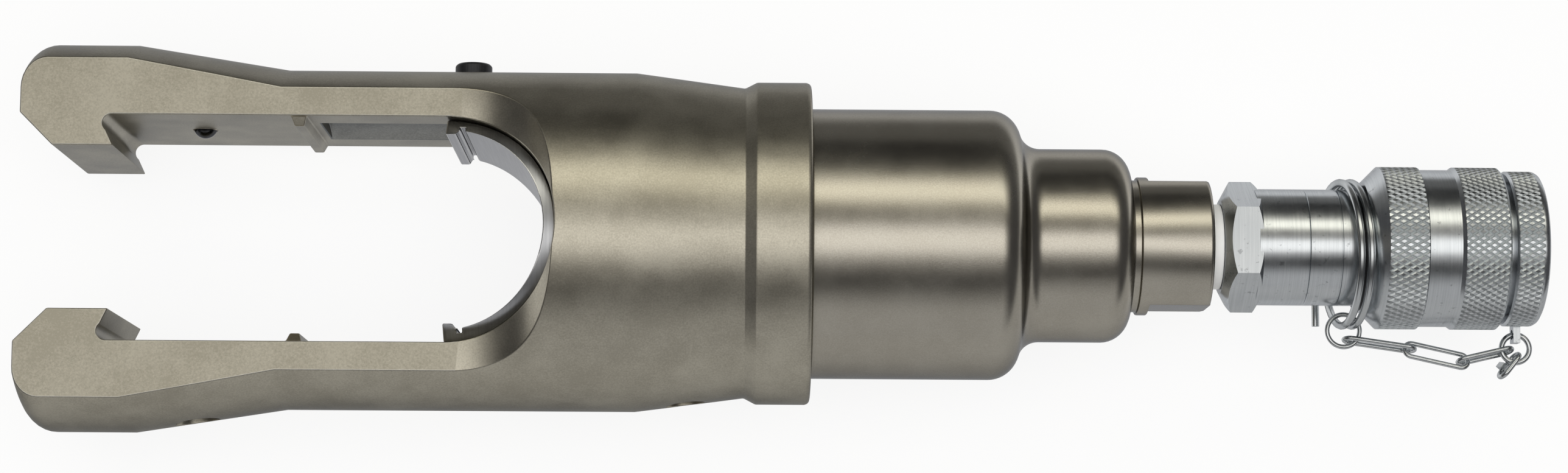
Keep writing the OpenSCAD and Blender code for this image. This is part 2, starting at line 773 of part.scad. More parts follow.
// Loose two-turn wire ring round the coupler body: the -Z end of the wire runs on as a straight tail
anchor_helix = [for (t = [0:15:360 * anchor_turns]) [
    anchor_x + anchor_tilt * (1 - cos(t)) / 2 + anchor_pitch * t / 360,
    anchor_y + anchor_r * sin(t),
    axis_z - anchor_r * cos(t)
]];
anchor_start = anchor_helix[0];
anchor_path = concat(
    [anchor_start - [0, anchor_tail, 0], anchor_start - [0, anchor_wire, 0]],
    anchor_helix
);
// Least distance between the wire's surface and its own next turn
anchor_self_gap = min([for (i = [0:len(anchor_path) - 1]) for (j = [i + 1:1:len(anchor_path) - 1])
    if (j - i > 12) norm(anchor_path[i] - anchor_path[j])]) - anchor_wire;

module anchor_ring() {
    echo(anchor_self_gap = anchor_self_gap);
    color(BRIGHT) wire(anchor_path, anchor_wire);
}

// Starts and ends of the three long links. Each overlaps the next by its wire, a clearance and
// its share of the cap's travel, so the chain has the slack to follow the cap.
link_slack = 0.35 + cap_travel / 5;
link_lap = link_wire + link_slack;
link_2_start = [x_sleeve - 3.6, chain_y];
link_2_end = [x_sleeve + 12.6, chain_y - 2.3];
link_3_start = link_2_end + [-link_lap, 0.3];
link_3_end = [x_sleeve + 24.9, chain_y - 5.2];
link_4_start = link_3_end + [-link_lap, 0.15];
link_4_end = [lug_x - cap_ring_r + (cap_ring_wire + link_wire) / 2 + link_slack, cap_ring_y - 0.2];

// Round jump ring that joins the anchor ring to the chain
module chain_link_1() {
    ring_r = (anchor_low_y - chain_y) / 2 + 2.3;
    color(BRIGHT) translate([x_sleeve - 3.75, (anchor_low_y + chain_y) / 2 + 0.55, chain_z])
        rotate_extrude() translate([ring_r, 0]) circle(d = link_wire, $fn = 24);
}

module chain_link_2() {
    chain_link(link_2_start, link_2_end, 78);
}

module chain_link_3() {
    chain_link(link_3_start, link_3_end, 156);
}

module chain_link_4() {
    chain_link(link_4_start, link_4_end, 75);
}

// Wire loop that hangs from the cap's ring
module clip_loop() {
    color(BRIGHT) along(loop_start, loop_end, loop_roll) link(span(loop_start, loop_end), loop_w, loop_wire);
}

// Crimped block round one side of the hanging loop
module crimp_clip() {
    clip_l = 1.4;
    clip_w = 2.7;
    side_r = (loop_w - loop_wire) / 2;
    clip_x = span(loop_start, loop_end) - side_r - clip_l / 2 - 0.05;
    color(BRIGHT) along(loop_start, loop_end, loop_roll) translate([clip_x, -side_r, 0]) difference() {
        cube([clip_l, clip_w, clip_w], center = true);
        rotate([0, 90, 0]) cylinder(h = 2 * clip_l, r = loop_wire / 2 + 0.02, center = true);
    }
}

// Round ring through the cap's lug
module cap_ring() {
    color(BRIGHT) translate([lug_x, cap_ring_y, chain_z])
        rotate_extrude() translate([cap_ring_r, 0]) circle(d = cap_ring_wire, $fn = 24);
}

yoke();
cylinder_part();  // cylinder
ram();
piston_seal();
seal_backup_ring();
ram_wear_band();
ram_wiper();
cylinder_o_ring();
spring_rod();
return_spring();
spring_washer();
spring_snap_ring();
yoke_set_screw();
release_button();
button_spring();
button_clip();
detent_ball_upper();
detent_ball_lower();
detent_spring_upper();
detent_spring_lower();
detent_screws();
thread_seal_ring();
coupler_adapter();
coupler_body();
coupler_o_ring();
poppet_guide();
poppet();
poppet_seal();
poppet_spring();
sleeve();
sleeve_snap_ring();
dust_cap();
cap_gasket();
anchor_ring();
chain_link_1();
chain_link_2();
chain_link_3();
chain_link_4();
clip_loop();
crimp_clip();
cap_ring();
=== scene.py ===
import math

import bmesh
import bpy
from mathutils import Matrix, Vector


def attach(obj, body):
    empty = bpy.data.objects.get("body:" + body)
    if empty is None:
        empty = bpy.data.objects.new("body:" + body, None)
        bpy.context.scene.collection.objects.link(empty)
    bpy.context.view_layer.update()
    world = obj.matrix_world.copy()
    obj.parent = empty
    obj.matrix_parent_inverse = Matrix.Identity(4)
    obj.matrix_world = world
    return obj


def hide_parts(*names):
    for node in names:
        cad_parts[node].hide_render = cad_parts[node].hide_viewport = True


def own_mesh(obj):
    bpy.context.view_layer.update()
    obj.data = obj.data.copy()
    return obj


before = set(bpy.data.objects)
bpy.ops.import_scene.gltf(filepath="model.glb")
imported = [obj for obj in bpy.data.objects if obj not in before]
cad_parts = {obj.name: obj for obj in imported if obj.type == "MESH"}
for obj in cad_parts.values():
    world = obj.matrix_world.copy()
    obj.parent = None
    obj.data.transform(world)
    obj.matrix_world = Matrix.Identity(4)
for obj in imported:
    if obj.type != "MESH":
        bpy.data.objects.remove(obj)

# The view: the tool lies on its side and is seen from almost straight above, with the lens and the
# angles that fit the photo's edges. The tool's long axis is level and AXIS_Z above the floor.
AXIS_Z = 0.0389
LENS_DISTANCE = 0.79985
CAMERA_TURN = -0.413
CAMERA_LEAN = 0.869
CAMERA_PITCH = -7.392
for leftover in ("Cube", "Light", "Camera"):
    if leftover in bpy.data.objects:
        bpy.data.objects.remove(bpy.data.objects[leftover])
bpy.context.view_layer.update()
scene = bpy.context.scene
camera = bpy.data.objects.new("camera", bpy.data.cameras.new("camera"))
camera.data.lens = 79.82
camera.data.sensor_width = 36
camera.data.shift_x = -0.0022
camera.data.shift_y = 0.0047
tilt = (Matrix.Rotation(math.radians(CAMERA_TURN), 4, "Z")
        @ Matrix.Rotation(math.radians(CAMERA_LEAN), 4, "Y")
        @ Matrix.Rotation(math.radians(CAMERA_PITCH), 4, "X"))
camera.matrix_world = (Matrix.Translation((0, 0, AXIS_Z)) @ tilt.transposed()
                       @ Matrix.Translation((0, 0, LENS_DISTANCE)))
scene.collection.objects.link(camera)
scene.camera = camera
scene.view_settings.view_transform = "Standard"


# The studio: a plain white floor that stays white to the eye and keeps a faint shadow. In the metal it shows
# a painted pool of light, brightest on the near side and fading to dark beyond the tool. The room is dark,
# with two long strips of light over the tool.
def add_node(tree, kind, inputs=(), **settings):
    """A shader node with its inputs set to values or linked to other nodes' sockets."""
    made = tree.nodes.new("ShaderNode" + kind)
    for key, value in settings.items():
        setattr(made, key, value)
    for socket, value in dict(inputs).items():
        if isinstance(value, bpy.types.NodeSocket):
            tree.links.new(value, made.inputs[socket])
        else:
            made.inputs[socket].default_value = value
    return made


def add_object(name, bm, *materials, smooth_to=35):
    """An object at the origin from a bmesh, smooth where its faces meet at less than smooth_to degrees."""
    mesh = bpy.data.meshes.new(name)
    bm.to_mesh(mesh)
    bm.free()
    mesh.set_sharp_from_angle(angle=math.radians(smooth_to))
    for material in materials:
        mesh.materials.append(material)
    made = bpy.data.objects.new(name, mesh)
    scene.collection.objects.link(made)
    return made


def new_material(name):
    """An empty material; returns it and its node tree."""
    material = bpy.data.materials.new(name)
    material.use_nodes = True
    material.node_tree.nodes.clear()
    return material, material.node_tree


FLOOR_WHITE = 0.86
floor_paint, tree = new_material("floor_paint")
path = add_node(tree, "LightPath")
seen = add_node(tree, "Math", {0: path.outputs["Is Camera Ray"], 1: path.outputs["Is Glossy Ray"]},
                operation="MAXIMUM")
seen = add_node(tree, "Math", {0: seen.outputs[0], 1: path.outputs["Is Transmission Ray"]},
                operation="MAXIMUM")
share = add_node(tree, "Math", {0: seen.outputs[0], 1: FLOOR_WHITE}, operation="MULTIPLY")
spot = add_node(tree, "SeparateXYZ", {0: add_node(tree, "TexCoord").outputs["Object"]})
# Painted light: for reflections the floor glows as a painted pool, set by where on the floor it is, not lit
# by lamps
near = add_node(tree, "MapRange", {"Value": spot.outputs["Y"], "From Min": -0.07, "From Max": -0.01,
                                   "To Min": 0.42, "To Max": 0.95}, interpolation_type="SMOOTHSTEP")
far = add_node(tree, "MapRange", {"Value": spot.outputs["Y"], "From Min": 0.08, "From Max": 0.13,
                                  "To Min": 1, "To Max": 0.04}, interpolation_type="SMOOTHSTEP")
painted_light_pool = add_node(tree, "Math", {0: near.outputs[0], 1: far.outputs[0]}, operation="MULTIPLY")
strength = add_node(tree, "Math", {0: path.outputs["Is Camera Ray"], 1: painted_light_pool.outputs[0]}, operation="MAXIMUM")
paper = add_node(tree, "BsdfDiffuse", {"Color": (0.85, 0.85, 0.84, 1)})
white = add_node(tree, "Emission", {"Color": (1, 1, 1, 1), "Strength": strength.outputs[0]})
mixed = add_node(tree, "MixShader", {0: share.outputs[0], 1: paper.outputs[0], 2: white.outputs[0]})
add_node(tree, "OutputMaterial", {"Surface": mixed.outputs[0]})
bm = bmesh.new()
bmesh.ops.create_grid(bm, x_segments=1, y_segments=1, size=4)
add_object("floor", bm, floor_paint)

# Brightness round the long axis: degrees from straight up towards the upper arm, and the light's colour
ROOM = [
    (-180, (0.40, 0.40, 0.40)), (-118, (0.46, 0.46, 0.46)), (-64, (0.50, 0.50, 0.50)),
    (-52, (0.30, 0.30, 0.30)), (-42, (0.06, 0.06, 0.06)), (-30, (0.08, 0.08, 0.08)),
    (-17, (0.55, 0.54, 0.53)), (-12, (1.50, 1.48, 1.44)), (4, (1.55, 1.53, 1.49)),
    (10, (0.60, 0.59, 0.56)), (14, (0.26, 0.25, 0.23)), (24, (0.26, 0.25, 0.23)),
    (30, (0.90, 0.87, 0.75)), (33, (1.75, 1.70, 1.48)), (44, (1.75, 1.70, 1.48)),
    (50, (0.70, 0.68, 0.60)), (58, (0.12, 0.12, 0.11)), (70, (0.035, 0.035, 0.035)),
    (103, (0.03, 0.03, 0.03)), (118, (0.25, 0.25, 0.25)), (180, (0.40, 0.40, 0.40)),
]
ROOM_PEAK = 1.75
world = bpy.data.worlds.new("studio")
scene.world = world
world.use_nodes = True
tree = world.node_tree
tree.nodes.clear()
away = add_node(tree, "TexCoord")
parts = add_node(tree, "SeparateXYZ", {0: away.outputs["Generated"]})
angle = add_node(tree, "Math", {0: parts.outputs["Y"], 1: parts.outputs["Z"]}, operation="ARCTAN2")
place = add_node(tree, "MapRange", {"Value": angle.outputs[0], "From Min": -math.pi, "From Max": math.pi})
ramp = add_node(tree, "ValToRGB", {0: place.outputs[0]})
for number, (degrees, colour) in enumerate(ROOM):
    where = degrees / 360 + 0.5
    stop = ramp.color_ramp.elements[0] if number == 0 else ramp.color_ramp.elements.new(where)
    stop.position = where
    stop.color = [channel / ROOM_PEAK for channel in colour] + [1]
ramp.color_ramp.elements.remove(ramp.color_ramp.elements[-1])
sideways = add_node(tree, "Math", {0: parts.outputs["X"]}, operation="ABSOLUTE")
ends = add_node(tree, "MapRange", {"Value": sideways.outputs[0], "From Min": 0.42, "From Max": 0.75},
                interpolation_type="SMOOTHSTEP")
level = add_node(tree, "Mix", {0: ends.outputs[0], 6: ramp.outputs[0], 7: (0.04, 0.04, 0.042, 1)},
                 data_type="RGBA")
light = add_node(tree, "Background", {"Color": level.outputs[2], "Strength": ROOM_PEAK})
add_node(tree, "OutputWorld", {"Surface": light.outputs[0]})

fill = bpy.data.objects.new("fill_lamp", bpy.data.lights.new("fill_lamp", "AREA"))
fill.data.shape = "SQUARE"
fill.data.size = 1.6
fill.data.energy = 22
fill.location = (0, -0.3, 1.7)
fill.rotation_euler = (math.radians(-10), 0, 0)
fill.visible_glossy = False
scene.collection.objects.link(fill)


# The yoke and the cylinder: steel forgings, turned and milled, then blasted with fine beads and nickel
# plated, so that they are a dull champagne grey. The milled edges are broken and rounded off; along the
# fork's flats they carry a painted highlight, a paler colour that makes them shine as thin lines. The walls
# of the pockets in the arms carry painted shade, a dark colour.
# The cylinder is screwed into the yoke, and a set screw locks it there.
def new_group(name, inputs, outputs):
    """A node group with named number inputs; returns its tree, its input node and its output node."""
    group = bpy.data.node_groups.new(name, "ShaderNodeTree")
    for socket, value in inputs.items():
        made = group.interface.new_socket(socket, in_out="INPUT", socket_type="NodeSocketFloat")
        made.default_value = value
    for socket, kind in outputs.items():
        group.interface.new_socket(socket, in_out="OUTPUT", socket_type="NodeSocket" + kind)
    return group, group.nodes.new("NodeGroupInput"), group.nodes.new("NodeGroupOutput")


def link_outputs(group, end, **sockets):
    """Links sockets to a group's outputs of the same names."""
    for name, socket in sockets.items():
        group.links.new(socket, end.inputs[name])


# Blasted grain: Mottle is broad and cloudy, Speckle is fine, and Normal is the speckle's relief
blast, start, end = new_group("blasted_grain", {"Grain": 2600, "Relief": 0.1},
                              {"Mottle": "Float", "Speckle": "Float", "Normal": "Vector"})
spot = add_node(blast, "TexCoord").outputs["Object"]
cloud = add_node(blast, "TexNoise", {"Vector": spot, "Scale": 70, "Detail": 4, "Roughness": 0.6})
speck = add_node(blast, "TexNoise", {"Vector": spot, "Scale": start.outputs["Grain"], "Detail": 3,
                                     "Roughness": 0.7})
bump = add_node(blast, "Bump", {"Strength": start.outputs["Relief"], "Distance": 0.0001,
                                "Height": speck.outputs["Fac"]})
link_outputs(blast, end, Mottle=cloud.outputs["Fac"], Speckle=speck.outputs["Fac"], Normal=bump.outputs[0])


def blasted_steel(name, dull, pale, roughness, grain, relief):
    """Bead-blasted plated steel: two close colours in clouds and specks, rougher where it is paler."""
    material, tree = new_material(name)
    surface = add_node(tree, "Group", node_tree=blast)
    surface.inputs["Grain"].default_value = grain
    surface.inputs["Relief"].default_value = relief
    blend = add_node(tree, "Math", {0: surface.outputs["Mottle"], 1: surface.outputs["Speckle"]},
                     operation="ADD")
    blend = add_node(tree, "MapRange", {"Value": blend.outputs[0], "From Min": 0.8, "From Max": 1.2})
    colour = add_node(tree, "Mix", {0: blend.outputs[0], 6: dull, 7: pale}, data_type="RGBA")
    rough = add_node(tree, "MapRange", {"Value": surface.outputs["Mottle"], "From Min": 0.3, "From Max": 0.7,
                                        "To Min": roughness - 0.03, "To Max": roughness + 0.03})
    metal = add_node(tree, "BsdfPrincipled", {"Base Color": colour.outputs[2], "Metallic": 1,
                                              "Roughness": rough.outputs[0],
                                              "Specular Tint": (0.33, 0.345, 0.38, 1),
                                              "Normal": surface.outputs["Normal"]})
    add_node(tree, "OutputMaterial", {"Surface": metal.outputs[0]})
    return material


EDGE_ROUNDING = 0.0003
MERGE_WITHIN = 2e-6
FLAT_TO_DEGREES = 0.03
SHARP_FROM_DEGREES = 22


def edged_copy(node, width):
    """A merged copy of a CAD node with its sharp edges rounded off by width; returns it and the rounding."""
    bm = bmesh.new()
    bm.from_mesh(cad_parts[node].data)
    bmesh.ops.remove_doubles(bm, verts=bm.verts, dist=MERGE_WITHIN)
    bmesh.ops.dissolve_limit(bm, angle_limit=math.radians(FLAT_TO_DEGREES), verts=bm.verts, edges=bm.edges)
    for face in bm.faces:
        face.smooth = True
        face.material_index = 0
    sharp = [edge for edge in bm.edges if edge.calc_face_angle(0) > math.radians(SHARP_FROM_DEGREES)]
    rounding = bmesh.ops.bevel(bm, geom=sharp, offset=width, offset_type="OFFSET", segments=2, profile=0.5,
                               affect="EDGES", clamp_overlap=False, material=-1)["faces"]
    return bm, rounding


def fit(name, bm, body, node, slot, *materials):
    """Puts a finished piece on its body in place of a CAD node, with shading that follows its large faces."""
    made = add_object(name, bm, *materials)
    made.modifiers.new("even_shading", "WEIGHTED_NORMAL").keep_sharp = True
    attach(made, body)
    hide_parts(node)


yoke_skin = blasted_steel("yoke_skin", (0.43, 0.40, 0.33, 1), (0.59, 0.555, 0.465, 1),
                          roughness=0.34, grain=2600, relief=0.12)
fork_flat = blasted_steel("fork_flat", (0.44, 0.41, 0.335, 1), (0.60, 0.565, 0.475, 1),
                          roughness=0.5, grain=2200, relief=0.12)
barrel_skin = blasted_steel("barrel_skin", (0.45, 0.42, 0.36, 1), (0.53, 0.50, 0.435, 1),
                            roughness=0.26, grain=3000, relief=0.08)
# Painted highlight: the rounded edges along the fork's flats are painted paler than the steel around them
painted_edge_highlight = blasted_steel("painted_edge_highlight", (0.50, 0.48, 0.42, 1), (0.60, 0.58, 0.52, 1),
                         roughness=0.36, grain=2600, relief=0.05)
# Painted shade: the walls of the pockets in the arms' inner faces are painted dark, as shade in the recess
painted_hollow_shade = blasted_steel("painted_hollow_shade", (0.20, 0.20, 0.19, 1), (0.30, 0.30, 0.285, 1),
                              roughness=0.4, grain=2200, relief=0.08)
FORK_HALF = 0.0222
FLAT_WITHIN = 1e-4
LEVEL_FROM = 0.999
SLOT_HALF = 0.0254
HOLLOW_HALF = 0.0285
HOLLOW_X = (-0.109, -0.0748)
HOLLOW_SLOPE = 0.3
FLAT, EDGE, HOLLOW = 1, 2, 3
bm, rounding = edged_copy("yoke", EDGE_ROUNDING)
# Faces on the fork's flats get the flat finish; the pocket walls get the painted shade
for face in bm.faces:
    middle = face.calc_center_median()
    if abs(face.normal.z) > LEVEL_FROM and abs(abs(middle.z - AXIS_Z) - FORK_HALF) < FLAT_WITHIN:
        face.material_index = FLAT
    elif (HOLLOW_X[0] < middle.x < HOLLOW_X[1] and SLOT_HALF < abs(middle.y) < HOLLOW_HALF
          and abs(face.normal.y) > HOLLOW_SLOPE):
        face.material_index = HOLLOW
# The rounding next to the flats takes the painted highlight colour
for face in rounding:
    if any(near.material_index == FLAT for edge in face.edges for near in edge.link_faces):
        face.material_index = EDGE
fit("yoke_forging", bm, "tool", "yoke", "yoke_steel", yoke_skin, fork_flat, painted_edge_highlight, painted_hollow_shade)
bm = edged_copy("cylinder", EDGE_ROUNDING)[0]
fit("cylinder_forging", bm, "tool", "cylinder", "yoke_steel", barrel_skin)


# The ram and the small steel parts: turned bare steel with fine rings from the lathe, and brighter edges on
# the ram where dies rub it. The detent screws, the spring's rod and the snap rings are blackened, and the
# two detent balls are dark and polished.

# Lathe marks: Rings are fine grooves round the long axis with Normal as their relief, Smear is their slow
# change, and Specks are small pits.
lathe, start, end = new_group("lathe_marks", {"Pitch": 2500, "Relief": 0.1},
                              {"Rings": "Float", "Smear": "Float", "Specks": "Float", "Normal": "Vector"})
spot = add_node(lathe, "TexCoord").outputs["Object"]
along = add_node(lathe, "Mapping", {"Vector": spot, "Scale": (1, 0.02, 0.02)})
ring = add_node(lathe, "TexNoise", {"Vector": along.outputs[0], "Scale": start.outputs["Pitch"], "Detail": 2})
smear = add_node(lathe, "TexNoise", {"Vector": spot, "Scale": 90, "Detail": 4, "Roughness": 0.65})
specks = add_node(lathe, "TexNoise", {"Vector": spot, "Scale": 650, "Detail": 3, "Roughness": 0.6})
bump = add_node(lathe, "Bump", {"Strength": start.outputs["Relief"], "Distance": 0.0002,
                                "Height": ring.outputs["Fac"]})
link_outputs(lathe, end, Rings=ring.outputs["Fac"], Smear=smear.outputs["Fac"], Specks=specks.outputs["Fac"],
             Normal=bump.outputs[0])

PIT_GREY = (0.12, 0.125, 0.13, 1)


def turned_metal(name, dull, pale, roughness, pitch=2500, relief=0.1, metallic=1.0, pitted=0.0):
    """Turned metal: colour and roughness follow its lathe marks and smears; pitted darkens small specks."""
    material, tree = new_material(name)
    surface = add_node(tree, "Group", node_tree=lathe)
    surface.inputs["Pitch"].default_value = pitch
    surface.inputs["Relief"].default_value = relief
    blend = add_node(tree, "Math", {0: surface.outputs["Rings"], 1: surface.outputs["Smear"]},
                     operation="ADD")
    blend = add_node(tree, "MapRange", {"Value": blend.outputs[0], "From Min": 0.7, "From Max": 1.3})
    colour = add_node(tree, "Mix", {0: blend.outputs[0], 6: dull, 7: pale}, data_type="RGBA")
    specks = add_node(tree, "MapRange", {"Value": surface.outputs["Specks"], "From Min": 0.64,
                                         "From Max": 0.72, "To Max": pitted})
    colour = add_node(tree, "Mix", {0: specks.outputs[0], 6: colour.outputs[2], 7: PIT_GREY},
                      data_type="RGBA")
    rough = add_node(tree, "MapRange", {"Value": surface.outputs["Smear"], "From Min": 0.3, "From Max": 0.7,
                                        "To Min": roughness - 0.05, "To Max": roughness + 0.05})
    metal = add_node(tree, "BsdfPrincipled", {"Base Color": colour.outputs[2], "Metallic": metallic,
                                              "Roughness": rough.outputs[0],
                                              "Specular Tint": (0.5, 0.505, 0.52, 1),
                                              "Normal": surface.outputs["Normal"]})
    add_node(tree, "OutputMaterial", {"Surface": metal.outputs[0]})
    return material


def dress(material, *nodes):
    """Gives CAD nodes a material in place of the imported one."""
    for node in nodes:
        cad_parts[node].material_slots[0].material = material


bare_steel = turned_metal("bare_steel", (0.43, 0.435, 0.45, 1), (0.54, 0.545, 0.56, 1), 0.32)
worn_lip = turned_metal("worn_lip", (0.55, 0.55, 0.55, 1), (0.66, 0.66, 0.66, 1), 0.24)
black_oxide = turned_metal("black_oxide", (0.028, 0.028, 0.03, 1), (0.05, 0.05, 0.053, 1), 0.38, metallic=0.6)
ball_steel = turned_metal("ball_steel", (0.045, 0.045, 0.047, 1), (0.07, 0.07, 0.073, 1), 0.14,
                          pitch=900, relief=0.03)
RUBBED = 1
bm, rounding = edged_copy("ram", EDGE_ROUNDING)
for face in rounding:
    face.material_index = RUBBED
fit("ram_turned", bm, "ram", "ram", "machined_steel", bare_steel, worn_lip)
dress(bare_steel, "spring_washer", "button_clip", "yoke_set_screw", "poppet", "poppet_guide")
dress(black_oxide, "spring_rod", "spring_snap_ring", "sleeve_snap_ring", "detent_screws")
dress(ball_steel, "detent_ball_upper", "detent_ball_lower")


# Seals and guide rings: black rubber, white plastic and brown fabric-filled plastic, moulded to shape.
# Most sit in grooves in the steel; one white ring shows between the cylinder's neck and the hexagon.
def moulded(name, dark, light, roughness, clouds):
    """Rubber or plastic: two close colours in clouds, with a slightly uneven skin."""
    material, tree = new_material(name)
    spot = add_node(tree, "TexCoord").outputs["Object"]
    cloud = add_node(tree, "TexNoise", {"Vector": spot, "Scale": clouds, "Detail": 4})
    colour = add_node(tree, "Mix", {0: cloud.outputs["Fac"], 6: dark, 7: light}, data_type="RGBA")
    rough = add_node(tree, "MapRange", {"Value": cloud.outputs["Fac"], "To Min": roughness - 0.1,
                                        "To Max": roughness + 0.1})
    bump = add_node(tree, "Bump", {"Strength": 0.08, "Distance": 0.0003, "Height": cloud.outputs["Fac"]})
    skin = add_node(tree, "BsdfPrincipled", {"Base Color": colour.outputs[2], "Roughness": rough.outputs[0],
                                             "Normal": bump.outputs[0]})
    add_node(tree, "OutputMaterial", {"Surface": skin.outputs[0]})
    return material


rubber = moulded("seal_rubber_skin", (0.012, 0.012, 0.013, 1), (0.026, 0.026, 0.027, 1), 0.55, 500)
white_ring = moulded("white_plastic_skin", (0.74, 0.745, 0.73, 1), (0.86, 0.86, 0.85, 1), 0.38, 260)
brown_ring = moulded("brown_plastic_skin", (0.2, 0.1, 0.045, 1), (0.31, 0.17, 0.08, 1), 0.5, 900)
dress(rubber, "piston_seal", "ram_wiper", "cylinder_o_ring", "coupler_o_ring", "poppet_seal", "cap_gasket")
dress(white_ring, "seal_backup_ring", "thread_seal_ring")
dress(brown_ring, "ram_wear_band")


# Springs: round steel wire coiled about a line, each with one end on a fixed part and the other on the piece
# that it pushes. Each coil is fixed to the tool.
SPRING_STEPS = 32


def spring(name, node, wire, radius, foot, rise, turns, material):
    """A coil of wire from foot along rise, fixed to the tool in place of a CAD node."""
    foot, rise = Vector(foot), Vector(rise)
    axis = rise.normalized()
    out = axis.orthogonal().normalized()
    steps = int(SPRING_STEPS * turns)
    bm = bmesh.new()
    ring = bmesh.ops.create_circle(bm, segments=12, radius=wire / 2)
    across = axis.cross(out)
    frame_at = Matrix((out, axis, across)).transposed().to_4x4()
    bmesh.ops.transform(bm, matrix=Matrix.Translation(foot + out * radius) @ frame_at, verts=ring["verts"])
    bmesh.ops.spin(bm, geom=bm.verts[:] + bm.edges[:], cent=foot, axis=axis, dvec=rise / steps,
                   angle=2 * math.pi * turns, steps=steps)
    bmesh.ops.holes_fill(bm, edges=[edge for edge in bm.edges if edge.is_boundary])
    bmesh.ops.recalc_face_normals(bm, faces=bm.faces)
    for face in bm.faces:
        face.smooth = True
    made = add_object(name, bm, material, smooth_to=50)
    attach(made, "tool")
    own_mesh(made)
    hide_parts(node)


spring("return_spring_coil", "return_spring", wire=0.0032, radius=0.011, foot=(-0.0223, 0, AXIS_Z),
       rise=(0.0544, 0, 0), turns=7.5,
       material=black_oxide)
BUTTON_X = -0.0727
spring("button_spring_coil", "button_spring", wire=0.0007, radius=0.0031, foot=(BUTTON_X, 0.0316, AXIS_Z),
       rise=(0, 0.004, 0), turns=3,
       material=bare_steel)
DETENT_X = -0.1342
for arm, side in (("upper", 1), ("lower", -1)):
    spring(f"detent_spring_{arm}_coil", f"detent_spring_{arm}", wire=0.0006, radius=0.00205,
           foot=(DETENT_X, 0.0289 * side, AXIS_Z), rise=(0, 0.00579 * side, 0), turns=4,
           material=bare_steel)
spring("poppet_spring_coil", "poppet_spring", wire=0.0012, radius=0.005, foot=(0.12955, 0, AXIS_Z),
       rise=(0.0207, 0, 0), turns=7,
       material=bare_steel)


# The release button: a turned steel plug, blackened, with a rounded rim. It slides in a bore in the upper
# arm, where a spring pushes it out and a clip keeps it in.
BUTTON_ROUNDING = 0.00025
bm = edged_copy("release_button", BUTTON_ROUNDING)[0]
fit("button_plug", bm, "button", "release_button", "black_steel", black_oxide)


# The coupler: hexagon adapter and body, turned from steel and zinc plated, bluish with fine rings and pits.
# They are screwed together at the fine line beyond the hexagon.
zinc = turned_metal("zinc_turned", (0.56, 0.585, 0.605, 1), (0.68, 0.705, 0.725, 1), 0.24,
                    pitch=3200, relief=0.03, pitted=0.4)
dress(zinc, "coupler_adapter", "coupler_body")


# The sleeve and the dust cap: zinc-plated steel, turned, with diamond knurling rolled into the grip bands.
# Two sets of crossing grooves leave rows of small diamonds with flat tops. The sleeve turns to free the cap.
KNURLS = 76
KNURL_PITCH = 0.00275
KNURL_DEPTH = 0.0003
KNURL_STEPS = 4
ON_GROOVE = 0.01
ON_TOP = 0.49
NEAR = 1e-6
SEAM_WITHIN = 1e-7


def knurled(profile, bands, radius):
    """A turned shell from a closed profile of (x, radius), knurled at radius in bands of (x0, x1)."""
    points = []
    for x, r in profile:
        points.append((x, r))
        for x0, x1 in bands:
            if (x, r) == (x0, radius):
                count = KNURL_STEPS * round((x1 - x0) / KNURL_PITCH)
                points += [(x0 + (x1 - x0) * row / count, radius) for row in range(1, count)]
    bm = bmesh.new()
    verts = [bm.verts.new((x, 0, AXIS_Z + r)) for x, r in points]
    for first, second in zip(verts, verts[1:] + verts[:1]):
        bm.edges.new((first, second))
    bmesh.ops.spin(bm, geom=bm.verts[:] + bm.edges[:], cent=(0, 0, AXIS_Z), axis=(1, 0, 0),
                   angle=2 * math.pi, steps=KNURL_STEPS * KNURLS, use_merge=True)
    bmesh.ops.remove_doubles(bm, verts=bm.verts, dist=SEAM_WITHIN)
    bmesh.ops.recalc_face_normals(bm, faces=bm.faces)
    grip = set()
    grooves = []
    tops = []
    for vert in bm.verts:
        y, z = vert.co.y, vert.co.z - AXIS_Z
        for x0, x1 in bands:
            if x0 - NEAR < vert.co.x < x1 + NEAR and abs(math.hypot(y, z) - radius) < NEAR:
                grip.add(vert)
                turn = math.atan2(y, z) / (2 * math.pi) * KNURLS
                along = (vert.co.x - x0) / (x1 - x0) * round((x1 - x0) / KNURL_PITCH)
                height = min(abs((way + 0.5) % 1 - 0.5) * 2 for way in (turn + along, turn - along))
                sunk = 1 - KNURL_DEPTH * max(0, 1 - 2 * height) / radius
                vert.co = (vert.co.x, y * sunk, AXIS_Z + z * sunk)
                if height < ON_GROOVE:
                    grooves.append(vert)
                elif height > ON_TOP:
                    tops.append(vert)
    bmesh.ops.connect_verts(bm, verts=grooves)
    bmesh.ops.connect_verts(bm, verts=tops)
    deep = set(grooves)
    for face in bm.faces:
        face.smooth = not all(vert in grip for vert in face.verts)
        face.material_index = 1 if any(vert in deep for vert in face.verts) else 0
    return bm


knurl_zinc = turned_metal("zinc_knurl", (0.62, 0.655, 0.67, 1), (0.76, 0.795, 0.81, 1), 0.42,
                          pitch=900, relief=0.05)
SLEEVE_R = 0.0187
SLEEVE_BANDS = [(0.1359, 0.1445), (0.1531, 0.1628)]
bm = knurled([
    (0.1322, 0.01352), (0.1322, 0.0152), (0.1357, SLEEVE_R), (0.1359, SLEEVE_R), (0.1445, SLEEVE_R),
    (0.1446, SLEEVE_R), (0.1449, 0.0181), (0.1522, 0.0181), (0.1530, SLEEVE_R), (0.1531, SLEEVE_R),
    (0.1628, SLEEVE_R), (0.1629, SLEEVE_R), (0.1634, 0.0182), (0.1634, 0.01549), (0.1356, 0.01549),
    (0.1356, 0.01352),
], SLEEVE_BANDS, SLEEVE_R)
sleeve = add_object("sleeve_knurled", bm, zinc, knurl_zinc, smooth_to=25)
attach(sleeve, "sleeve")
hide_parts("sleeve")

